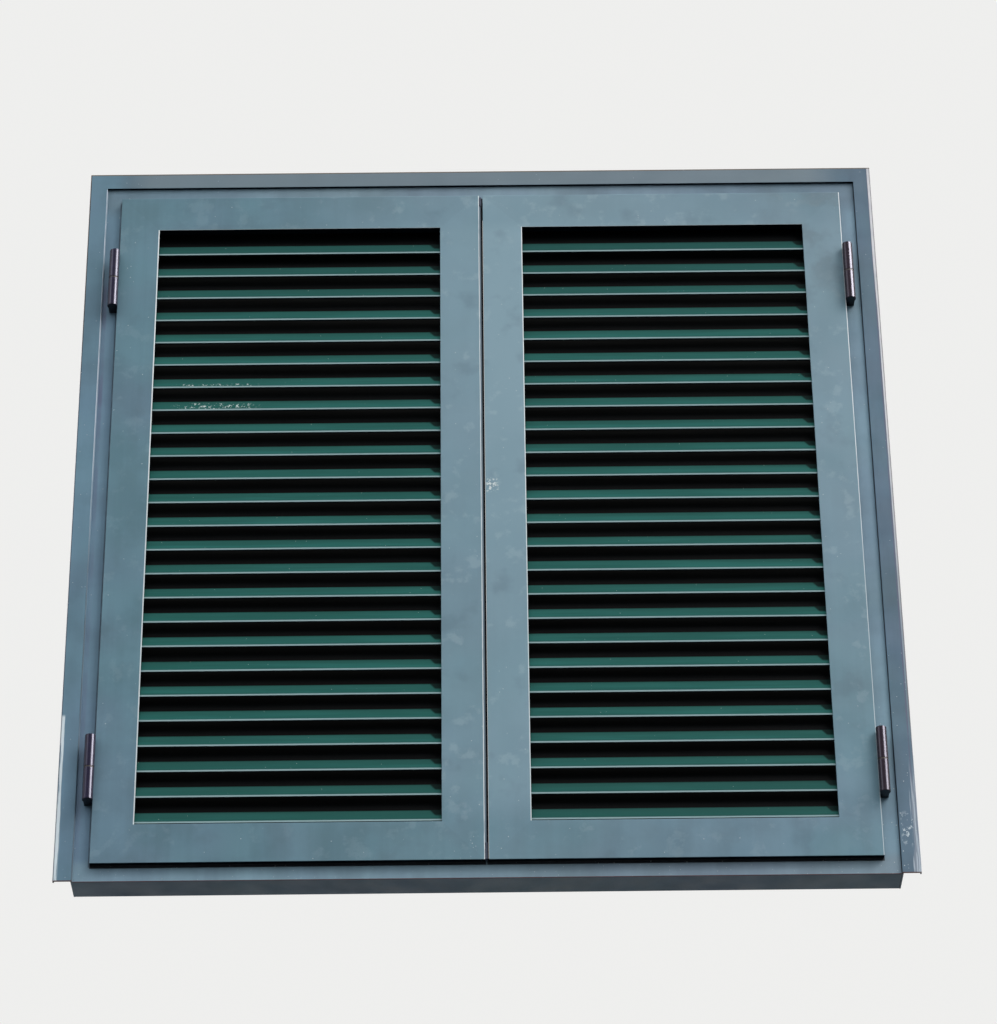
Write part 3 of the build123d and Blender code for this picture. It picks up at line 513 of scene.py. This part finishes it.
def leaf_coat(name, lightness):
    """The coat of the stiles or of the rails, which were sprayed apart and have faded unevenly, with painted
    sheen, painted glints on edges and painted shade under them.
    """
    material, tree, shader = principled(name)
    place = own_place(tree)
    x, z = axis(tree, place, "X"), axis(tree, place, "Z")
    outward = ramp(tree, axis(tree, own_facing(tree), "Y"), -0.25, -0.5)
    downward = ramp(tree, axis(tree, own_facing(tree), "Z"), -0.35, -0.6)
    blue_grey, cooler_grey, painted_sheen = (0.102, 0.202, 0.250), (0.112, 0.196, 0.256), (0.217, 0.336, 0.398)
    color = weathered(tree, place, blue_grey, cooler_grey)

    # A paler tone painted as sheen: strongest by the meeting stiles and over the right leaf, fainter low down
    # and at the very top.
    left_share = times(tree, ramp(tree, x, -0.45, -0.02, 0.0, 0.68), ramp(tree, x, 0.001, -0.001))
    low_corner = times(tree, ramp(tree, x, 0.10, 0.50, 0.0, 0.45), ramp(tree, z, 0.55, 0.20))
    right_share = times(tree, ramp(tree, x, 0.02, 0.55, 1.0, 0.64), ramp(tree, x, -0.001, 0.001),
                        math_node(tree, "SUBTRACT", 1.0, low_corner))
    height_share = plus(tree, ramp(tree, z, 0.07, 0.16, 0.25, 0.66), ramp(tree, z, 0.35, 0.95, 0.0, 0.34))
    height_share = times(tree, height_share, ramp(tree, z, 1.125, 1.165, 1.0, 0.74))
    sheen_share = times(tree, plus(tree, left_share, right_share), height_share)
    color = layer(tree, color, painted_sheen, sheen_share)

    rain_marks, damp_marks, corner_shade = (0.36, 0.47, 0.52), (0.072, 0.120, 0.155), (0.118, 0.178, 0.212)
    drops = ramp(tree, noise(tree, place, 30.0, 4.0, 0.62), 0.56, 0.68, 0.0, 0.22)
    color = layer(tree, color, rain_marks, drops, ramp(tree, sheen_share, 0.0, 0.5, 0.4, 1.0))
    color = layer(tree, color, damp_marks,
                  ramp(tree, noise(tree, place, 18.0, 3.0, 0.5), 0.56, 0.74, 0.0, 0.27))
    color = layer(tree, color, corner_shade, ramp(tree, x, 0.42, 0.50), ramp(tree, z, 0.93, 1.08),
                  ramp(tree, noise(tree, place, 15.0, 4.0, 0.6), 0.42, 0.60, 0.10, 0.60))
    color = layer(tree, color, dried_drops, specks(tree, place, 190.0, 0.045, outward))

    scraped_metal, pale_drops = (0.62, 0.68, 0.68), (0.55, 0.60, 0.60)
    color = layer(tree, color, scraped_metal, band(tree, x, 0.0042, 0.022, 0.003),
                  band(tree, z, 0.650, 0.672, 0.004), ramp(tree, noise(tree, place, 260.0, 4.0), 0.50, 0.60))
    low_middle = times(tree, band(tree, x, -0.055, -0.012, 0.008), band(tree, z, 0.026, 0.066, 0.008))
    color = layer(tree, color, pale_drops, specks(tree, place, 260.0, 0.35, low_middle))

    edge_glint, leaf_underside_shade = (0.76, 0.80, 0.80), (0.003, 0.004, 0.006)
    # Pale lines painted as glints: on the left edge of each opening, on the outer edge of the right leaf, on
    # the meeting edge of the left leaf, and faintly along the tops of the openings.
    beside_slats = times(
        tree,
        largest(tree, band(tree, x, -opening_outer_x - 0.0017, -opening_outer_x + 0.0004),
                band(tree, x, opening_inner_x - 0.0013, opening_inner_x + 0.0004)),
        band(tree, z, opening_bottom_z - 0.0005, opening_top_z + 0.0005),
        ramp(tree, z, 0.40, 0.95, 0.72, 1.0),
    )
    outer_edge = times(tree, band(tree, x, leaf_side_x - 0.0012, leaf_side_x + 0.0003),
                       ramp(tree, noise(tree, place, 14.0), 0.30, 0.50, 0.4, 0.9),
                       ramp(tree, z, 0.45, 0.85, 0.45, 1.0))
    meeting_edge = times(tree, band(tree, x, -meeting_x - 0.0012, -meeting_x + 0.0003),
                         ramp(tree, noise(tree, place, 18.0), 0.30, 0.50, 0.35, 0.8))
    above_slats = times(tree, band(tree, z, opening_top_z - 0.0004, opening_top_z + 0.0008),
                        band(tree, math_node(tree, "ABSOLUTE", x), opening_inner_x, opening_outer_x), 0.45)
    glinting = largest(tree, beside_slats, outer_edge, meeting_edge, above_slats)
    color = layer(tree, color, edge_glint, glinting, outward)
    # Painted shade on the faces that look down.
    color = layer(tree, color, leaf_underside_shade, downward)
    tree.links.new(shaded(tree, color, lightness), shader.inputs["Base Color"])
    sprayed_skin(tree, place, shader, noise(tree, place, 20.0))
    return material


stile_coat = leaf_coat("stile_coat", 1.0)
rail_coat = leaf_coat("rail_coat", 0.965)
for leaf in ("left", "right"):
    for part in ("hinge_stile", "meeting_stile"):
        member_with_shaded_undersides(f"{leaf}_{part}", stile_coat)
    for part in ("top_rail", "bottom_rail"):
        member_with_shaded_undersides(f"{leaf}_{part}", rail_coat)

# Slats: fixed hollow blades of the same metal, dark green, with a pale nose painted as a reflection of the sky.
# Dust lies on the open part of each blade; what the next blade shades, and a wedge at the right end of each
# opening that the stile shades, are painted black as shadow, and the underside by the nose gets painted shade.
slat_pitch = 0.042
lowest_nose_z = 0.092
slat_edge = 0.0005
slat_nose_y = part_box("left_slats")[0].y
leaf_to_leaf_x = opening_outer_x + opening_inner_x
slat_paint, tree, shader = principled("slat_coat")
place = own_place(tree)
x, y, z = (axis(tree, place, letter) for letter in "XYZ")
outward = ramp(tree, axis(tree, own_facing(tree), "Y"), -0.2, -0.5)
downward = ramp(tree, axis(tree, own_facing(tree), "Z"), -0.25, -0.45)
behind_nose = math_node(tree, "SUBTRACT", y, slat_nose_y)
above_lowest = math_node(tree, "SUBTRACT", z, lowest_nose_z - slat_pitch / 2)
pitch_share = math_node(tree, "FRACT", math_node(tree, "DIVIDE", above_lowest, slat_pitch))
above_nose = times(tree, math_node(tree, "SUBTRACT", pitch_share, 0.5), slat_pitch)
lengthwise = streaked(tree, place, (5, 90, 90))

deep_green, dusty_green = (0.0135, 0.080, 0.069), (0.0185, 0.104, 0.091)
top_green, low_green, darker_back_green = (0.012, 0.056, 0.052), (0.014, 0.062, 0.055), (0.014, 0.050, 0.044)
color = blend_color(tree, ramp(tree, lengthwise, 0.35, 0.70), deep_green, dusty_green)
color = layer(tree, color, top_green, ramp(tree, z, 0.92, 1.10, 0.0, 0.55))
color = layer(tree, color, low_green, ramp(tree, z, 0.30, 0.12, 0.0, 0.40))
# Darker further back from the nose.
color = layer(tree, color, darker_back_green, ramp(tree, behind_nose, 0.0012, 0.0046, 0.0, 0.35))

green_specks, flaked_paint = (0.30, 0.36, 0.34), (0.55, 0.62, 0.60)
color = layer(tree, color, green_specks, specks(tree, place, 240.0, 0.035, outward))
flaked_blades = largest(tree, band(tree, z, 0.8465, 0.8535, 0.002), band(tree, z, 0.8055, 0.8190, 0.002))
color = layer(tree, color, flaked_paint, flaked_blades, band(tree, x, -0.470, -0.360, 0.02),
              ramp(tree, noise(tree, place, 230.0, 4.0, 0.7), 0.55, 0.63), outward)

# Painted shadow: black where the next blade shades the blade, and in a wedge at the right end of each opening
# that the stile shades.
blade_shadow, nose_sky_reflection, shade_under_nose = (0.0004, 0.0008, 0.0010), (0.27, 0.385, 0.40), (0.004, 0.012, 0.016)
shaded_by_next_blade = times(tree, ramp(tree, behind_nose, 0.0041, 0.0052), outward)
on_right_leaf = math_node(tree, "GREATER_THAN", x, 0.0)
from_right_end = math_node(tree, "SUBTRACT", x, times(tree, on_right_leaf, leaf_to_leaf_x))
corner_reach = plus(tree, from_right_end, times(tree, behind_nose, 2.6))
stile_shadow_wedge = ramp(tree, corner_reach, -opening_inner_x - 0.0078, -opening_inner_x - 0.0030, 0.0, 0.85)
stile_shadow_wedge = times(tree, stile_shadow_wedge, outward, ramp(tree, behind_nose, 0.0010, 0.0024))
color = layer(tree, color, blade_shadow, largest(tree, shaded_by_next_blade, stile_shadow_wedge))
# The pale nose is a painted reflection of the sky.
color = layer(tree, color, nose_sky_reflection, ramp(tree, behind_nose, 0.0012, 0.0006),
              ramp(tree, above_nose, 0.0013, 0.0005))
# Painted shade on the underside by the nose.
color = layer(tree, color, shade_under_nose, downward, ramp(tree, behind_nose, 0.0060, 0.0050))
tree.links.new(color, shader.inputs["Base Color"])
sprayed_skin(tree, place, shader, lengthwise, 0.45, 0.60, 0.02)
for leaf in ("left", "right"):
    dressed_copy(f"{leaf}_slats", slat_paint, slat_edge, least_angle=50)

# Closing angles: strips of the leaf metal bent to an angle and riveted to the bottom rails, which close the
# view under the lowest slats. Their outward side is painted black as shade.
angle_edge = 0.0003
angle_deep_shade, angle_soft_shade = (0.002, 0.006, 0.007), (0.005, 0.013, 0.014)
angle_grey, angle_cooler_grey = (0.112, 0.212, 0.255), (0.122, 0.204, 0.262)
angle_paint, tree, shader = principled("angle_coat")
place = own_place(tree)
inward = ramp(tree, axis(tree, own_facing(tree), "Y"), 0.25, 0.5)
color = blend_color(tree, ramp(tree, noise(tree, place, 30.0, 4.0), 0.35, 0.7), angle_deep_shade, angle_soft_shade)
color = layer(tree, color, weathered(tree, place, angle_grey, angle_cooler_grey), inward)
tree.links.new(color, shader.inputs["Base Color"])
shader.inputs["Roughness"].default_value = 0.6
for leaf in ("left", "right"):
    dressed_copy(f"{leaf}_closing_angle", angle_paint, angle_edge)

# Hinges: turned steel barrels on welded wings, the lower halves with their pins, painted a
# brown violet that is nearly black and still glossy. Thin brass washers part the halves.
barrel_edge = 0.0009
washer_edge = 0.0002
hinge_paint, tree, shader = principled("hinge_enamel")
place = own_place(tree)
worn = noise(tree, place, 160.0, 4.0)
right_hand = ramp(tree, axis(tree, place, "X"), -0.2, 0.2)
violet, worn_violet = (0.004, 0.003, 0.022), (0.008, 0.006, 0.032)
brown, worn_brown = (0.010, 0.003, 0.010), (0.018, 0.007, 0.016)
bare_points, hinge_underside_shade = (0.10, 0.085, 0.09), (0.003, 0.002, 0.004)
new_enamel = blend_color(tree, right_hand, violet, brown)
worn_enamel = blend_color(tree, right_hand, worn_violet, worn_brown)
color = blend_color(tree, ramp(tree, worn, 0.45, 0.75), new_enamel, worn_enamel)
color = layer(tree, color, bare_points, ramp(tree, noise(tree, place, 520.0, 3.0), 0.66, 0.70),
              ramp(tree, worn, 0.50, 0.60))
# Painted shade on the ends that face down.
color = layer(tree, color, hinge_underside_shade, ramp(tree, axis(tree, own_facing(tree), "Z"), -0.35, -0.6))
tree.links.new(color, shader.inputs["Base Color"])
uneven_roughness(tree, shader, worn, 0.22, 0.25)
shader.inputs["Specular IOR Level"].default_value = 0.27
shader.inputs["Specular Tint"].default_value = (0.90, 0.86, 1.0, 1)

washer_brass, tree, shader = principled("washer_brass")
tarnish = noise(tree, own_place(tree), 320.0, 4.0)
dark_tarnish, dull_brass = (0.014, 0.010, 0.008), (0.050, 0.036, 0.022)
color = blend_color(tree, ramp(tree, tarnish, 0.35, 0.7), dark_tarnish, dull_brass)
tree.links.new(color, shader.inputs["Base Color"])
uneven_roughness(tree, shader, tarnish, 0.40, 0.62)
shader.inputs["Metallic"].default_value = 0.3
for name, slot in slot_of_node.items():
    if slot == "hinge_paint":
        dressed_copy(name, hinge_paint, barrel_edge)
    elif slot == "washer_brass":
        dressed_copy(name, washer_brass, washer_edge)

# Meeting strip: a thin weathered extrusion held behind the lip of the left meeting stile, with
# moulded ends and a rubber fin that closes the last of the gap. The same rubber makes the gaskets.
strip_edge = 0.0003
rubber_edge = 0.0002
strip_paint, tree, shader = principled("strip_coat")
place = own_place(tree)
faded = streaked(tree, place, (60, 60, 9), 4.0)
strip_grey, pale_strip, right_lip_shadow = (0.165, 0.225, 0.280), (0.225, 0.295, 0.350), (0.003, 0.007, 0.012)
color = blend_color(tree, ramp(tree, faded, 0.3, 0.7), strip_grey, pale_strip)
# The right part of the strip is painted dark as the shadow of the right leaf's lip.
color = layer(tree, color, right_lip_shadow, ramp(tree, axis(tree, place, "X"), -0.0013, -0.0004))
tree.links.new(color, shader.inputs["Base Color"])
sprayed_skin(tree, place, shader, faded, 0.42, 0.58, 0.15)
dressed_copy("meeting_strip", strip_paint, strip_edge, mitre_edge)


def moulded(name, color, roughness):
    """Dull moulded plastic or rubber with a fine grain and dust."""
    material, tree, shader = principled(name)
    place = own_place(tree)
    grain = noise(tree, place, 420.0, 3.0)
    lighter = tuple(1.8 * part for part in color)
    dusty = tuple(2.4 * part + 0.01 for part in color)
    mixed = blend_color(tree, ramp(tree, grain, 0.4, 0.8), color, lighter)
    mixed = layer(tree, mixed, dusty, ramp(tree, noise(tree, place, 24.0), 0.52, 0.70, 0.0, 0.5))
    tree.links.new(mixed, shader.inputs["Base Color"])
    uneven_roughness(tree, shader, grain, roughness - 0.06, roughness + 0.08)
    shader.inputs["Specular IOR Level"].default_value = 0.15
    skin = add_node(tree, "Bump", Height=grain, Strength=0.15, Distance=0.0003)
    tree.links.new(skin.outputs[0], shader.inputs["Normal"])
    return material


cap_plastic = moulded("cap_plastic", (0.046, 0.056, 0.082), 0.6)
dressed_copy("meeting_strip_caps", cap_plastic, strip_edge)
rubber = moulded("seal_rubber", (0.0016, 0.0022, 0.0032), 0.75)
for name in ("meeting_seal", "left_gasket", "right_gasket"):
    dressed_copy(name, rubber, rubber_edge)

seal_low, seal_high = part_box("meeting_seal")
fin_side_x = 0.001
fin_foot_z, fin_top_z = 0.0272, 1.2048
fin_gap = 0.0002
fin_middle_x = (fin_side_x + seal_high.x) / 2
fin_middle_y = (seal_low.y + seal_high.y) / 2
fin_size = (seal_high.x - fin_side_x, seal_high.y - seal_low.y)
fin_ends = ((fin_foot_z, seal_low.z - fin_gap), (seal_high.z + fin_gap, fin_top_z))
bm = bmesh.new()
for low_z, high_z in fin_ends:
    fin = bmesh.ops.create_cube(bm, size=1.0)["verts"]
    bmesh.ops.scale(bm, vec=(*fin_size, high_z - low_z), verts=fin)
    bmesh.ops.translate(bm, vec=(fin_middle_x, fin_middle_y, (low_z + high_z) / 2), verts=fin)
bmesh.ops.bevel(bm, geom=bm.edges[:], offset=rubber_edge, offset_type="OFFSET", segments=2, profile=0.5,
                affect="EDGES", material=-1)
fin_mesh = bpy.data.meshes.new("seal_ends")
bm.to_mesh(fin_mesh)
bm.free()
fin_mesh.materials.append(rubber)
seal_ends = bpy.data.objects.new("seal_ends", fin_mesh)
scene.collection.objects.link(seal_ends)
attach(seal_ends, "left_leaf")

# Slat combs: slotted strips of black moulded plastic on the stiles, which hold the slat ends.
# Each slot is cut at the tilt of the slats.
comb_edge = 0.0003
comb_plastic = moulded("comb_plastic", (0.010, 0.011, 0.011), 0.55)
for leaf in ("left", "right"):
    for side in ("hinge", "meeting"):
        dressed_copy(f"{leaf}_slat_comb_{side}_side", comb_plastic, comb_edge)

# Corner cleats: sawn lengths of raw aluminium extrusion pressed into the mitred corners of the
# frame and of both leaves.
cleat_edge = 0.0003
cleat_metal, tree, shader = principled("cleat_aluminium")
drawn = streaked(tree, own_place(tree), (900, 20, 900))
dull_aluminium, bright_aluminium = (0.50, 0.51, 0.52), (0.64, 0.65, 0.66)
color = blend_color(tree, ramp(tree, drawn, 0.35, 0.7), dull_aluminium, bright_aluminium)
tree.links.new(color, shader.inputs["Base Color"])
uneven_roughness(tree, shader, drawn, 0.34, 0.50)
shader.inputs["Metallic"].default_value = 1.0
for name in ("frame_corner_cleats", "left_corner_cleats", "right_corner_cleats"):
    dressed_copy(name, cleat_metal, cleat_edge)

# Closing gear: a coated cast base and handle on the right meeting stile, over a steel pinion
# that drives two flat zinc-plated rods through moulded guides, and the bolts of the left leaf.
casting_edge = 0.0006
plated_edge = 0.0003
guide_edge = 0.0004
gear_coat, tree, shader = principled("gear_coat")
place = own_place(tree)
gear_grey, gear_cooler_grey, handled = (0.118, 0.205, 0.244), (0.124, 0.198, 0.250), (0.165, 0.245, 0.285)
color = weathered(tree, place, gear_grey, gear_cooler_grey)
color = layer(tree, color, handled, ramp(tree, noise(tree, place, 55.0, 4.0, 0.6), 0.48, 0.68, 0.0, 0.35))
tree.links.new(color, shader.inputs["Base Color"])
sprayed_skin(tree, place, shader, noise(tree, place, 60.0))
for name in ("cremone_base", "cremone_handle", "flush_bolt_bodies"):
    dressed_copy(name, gear_coat, casting_edge)

zinc, tree, shader = principled("zinc_plate")
place = own_place(tree)
rolled = streaked(tree, place, (800, 800, 14))
dark_zinc, pale_zinc, white_rust = (0.40, 0.41, 0.42), (0.52, 0.53, 0.53), (0.60, 0.60, 0.57)
color = blend_color(tree, ramp(tree, noise(tree, place, 90.0, 4.0), 0.35, 0.7), dark_zinc, pale_zinc)
color = layer(tree, color, white_rust, ramp(tree, noise(tree, place, 36.0, 5.0, 0.65), 0.58, 0.70, 0.0, 0.55))
tree.links.new(color, shader.inputs["Base Color"])
uneven_roughness(tree, shader, rolled, 0.28, 0.48)
shader.inputs["Metallic"].default_value = 0.9
skin = add_node(tree, "Bump", Height=rolled, Strength=0.12, Distance=0.0002)
tree.links.new(skin.outputs[0], shader.inputs["Normal"])
for name in ("cremone_pinion", "upper_rod", "lower_rod", "flush_bolt_top", "flush_bolt_bottom"):
    dressed_copy(name, zinc, plated_edge)
guide_plastic = moulded("guide_plastic", (0.011, 0.011, 0.013), 0.5)
for name in ("rod_guides", "keeps_top", "keeps_bottom"):
    dressed_copy(name, guide_plastic, guide_edge)

# Screws and rivets: stainless pan heads with a hexagon socket, on the hinge wings, the gear,
# the guides and keeps, in the jambs and through the closing angles. A head's size is its radius
# and its height.
stainless, tree, shader = principled("screw_stainless")
turned = noise(tree, own_place(tree), 600.0, 3.0)
dull_steel, bright_steel = (0.40, 0.40, 0.40), (0.52, 0.52, 0.51)
color = blend_color(tree, ramp(tree, turned, 0.35, 0.7), dull_steel, bright_steel)
tree.links.new(color, shader.inputs["Base Color"])
uneven_roughness(tree, shader, turned, 0.26, 0.42)
shader.inputs["Metallic"].default_value = 1.0
dome_steps = ((0.45, 1.0), (0.85, 0.86), (1.0, 0.66))
socket_share = 0.40
socket_depth_share = 0.6
head_sharp_angle = math.radians(32)


def screw_heads(name, body, facing, size, seats):
    """Pan heads with a hexagon socket, seated on a face that looks along facing."""
    radius, height = size
    bm = bmesh.new()
    turn = Vector(facing).to_track_quat("Z", "Y").to_matrix().to_4x4()
    for seat in seats:
        rim = bmesh.ops.create_circle(bm, segments=24, radius=radius, cap_ends=False)["verts"]
        made = list(rim)
        edges = list({e for v in rim for e in v.link_edges})
        for lift, shrink in dome_steps:
            grown = bmesh.ops.extrude_edge_only(bm, edges=edges)["geom"]
            ring = [part for part in grown if isinstance(part, bmesh.types.BMVert)]
            edges = [part for part in grown if isinstance(part, bmesh.types.BMEdge)
                     and part.verts[0] in ring and part.verts[1] in ring]
            for v in ring:
                flat = Vector((v.co.x, v.co.y, 0)).normalized() * radius * shrink
                v.co = (flat.x, flat.y, height * lift)
            made += ring
        socket = bmesh.ops.create_circle(bm, segments=6, radius=radius * socket_share,
                                         cap_ends=False)["verts"]
        bmesh.ops.translate(bm, vec=(0, 0, height), verts=socket)
        made += socket
        hexagon = list({e for v in socket for e in v.link_edges})
        bmesh.ops.bridge_loops(bm, edges=edges + hexagon)
        sunk = bmesh.ops.extrude_edge_only(bm, edges=hexagon)["geom"]
        deep = [part for part in sunk if isinstance(part, bmesh.types.BMVert)]
        bmesh.ops.translate(bm, vec=(0, 0, -height * socket_depth_share), verts=deep)
        made += deep
        for loop in (deep, rim):
            bmesh.ops.contextual_create(bm, geom=loop)
        bmesh.ops.transform(bm, matrix=Matrix.Translation(seat) @ turn, verts=made)
    bmesh.ops.recalc_face_normals(bm, faces=bm.faces)
    for e in bm.edges:
        e.smooth = e.calc_face_angle(0) < head_sharp_angle
    for face in bm.faces:
        face.smooth = True
    mesh = bpy.data.meshes.new(name)
    bm.to_mesh(mesh)
    bm.free()
    mesh.materials.append(stainless)
    piece = bpy.data.objects.new(name, mesh)
    scene.collection.objects.link(piece)
    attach(piece, body)


wing_screw, jamb_screw = (0.0034, 0.0018), (0.0056, 0.0026)
wing_x = 0.5605
wing_middles = (0.203, 1.073)
wing_seats = ((0.006, -0.015), (0.021, 0.0), (0.006, 0.015))
jamb_x, jamb_y, jamb_heights = 0.570, 0.030, (0.315, 0.945)
for leaf, side in (("left", -1), ("right", 1)):
    seats = [(side * wing_x, depth, middle + rise) for middle in wing_middles for depth, rise in wing_seats]
    screw_heads(f"{leaf}_wing_screws", f"{leaf}_leaf", (side, 0, 0), wing_screw, seats)
    seats = [(side * jamb_x, jamb_y, height) for height in jamb_heights]
    screw_heads(f"{leaf}_jamb_screws", "frame", (-side, 0, 0), jamb_screw, seats)

base_screw, guide_screw = (0.0040, 0.0020), (0.0017, 0.0009)
bolt_screw, keep_screw = (0.0026, 0.0013), (0.0012, 0.0007)
base_low, base_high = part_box("cremone_base")
base_x = (base_low.x + base_high.x) / 2
from_base_end = 0.012
seats = [(base_x, base_high.y, height)
         for height in (base_low.z + from_base_end, base_high.z - from_base_end)]
screw_heads("cremone_base_screws", "right_leaf", (0, 1, 0), base_screw, seats)
guide_back_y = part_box("rod_guides")[1].y
guide_heights = (0.104, 0.411, 0.821, 1.128)
beside_rod = 0.0074
seats = [(base_x + shift, guide_back_y, height) for height in guide_heights
         for shift in (-beside_rod, beside_rod)]
screw_heads("guide_screws", "right_leaf", (0, 1, 0), guide_screw, seats)
bolt_low, bolt_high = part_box("flush_bolt_bodies")
bolt_middle_y = (bolt_low.y + bolt_high.y) / 2
bolt_heights = (0.056, 0.122, 1.110, 1.176)
seats = [(bolt_high.x, bolt_middle_y, height) for height in bolt_heights]
screw_heads("bolt_body_screws", "left_leaf", (1, 0, 0), bolt_screw, seats)
angle_rivet = (0.0024, 0.0011)
rivet_y, rivet_z, rivet_spread = 0.0075, 0.073, (0.085, 0.220, 0.355, 0.495)
for leaf, side in (("left", -1), ("right", 1)):
    seats = [(side * away, rivet_y, rivet_z) for away in rivet_spread]
    screw_heads(f"{leaf}_angle_rivets", f"{leaf}_leaf", (0, 0, 1), angle_rivet, seats)
keep_seats = ((0.03575, 0.0362), (-0.016, 0.0157))
for end, height, way in (("top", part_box("keeps_top")[0].z, -1), ("bottom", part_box("keeps_bottom")[1].z, 1)):
    seats = [(across_x, depth, height) for across_x, depth in keep_seats]
    screw_heads(f"keep_screws_{end}", "frame", (0, 0, way), keep_screw, seats)
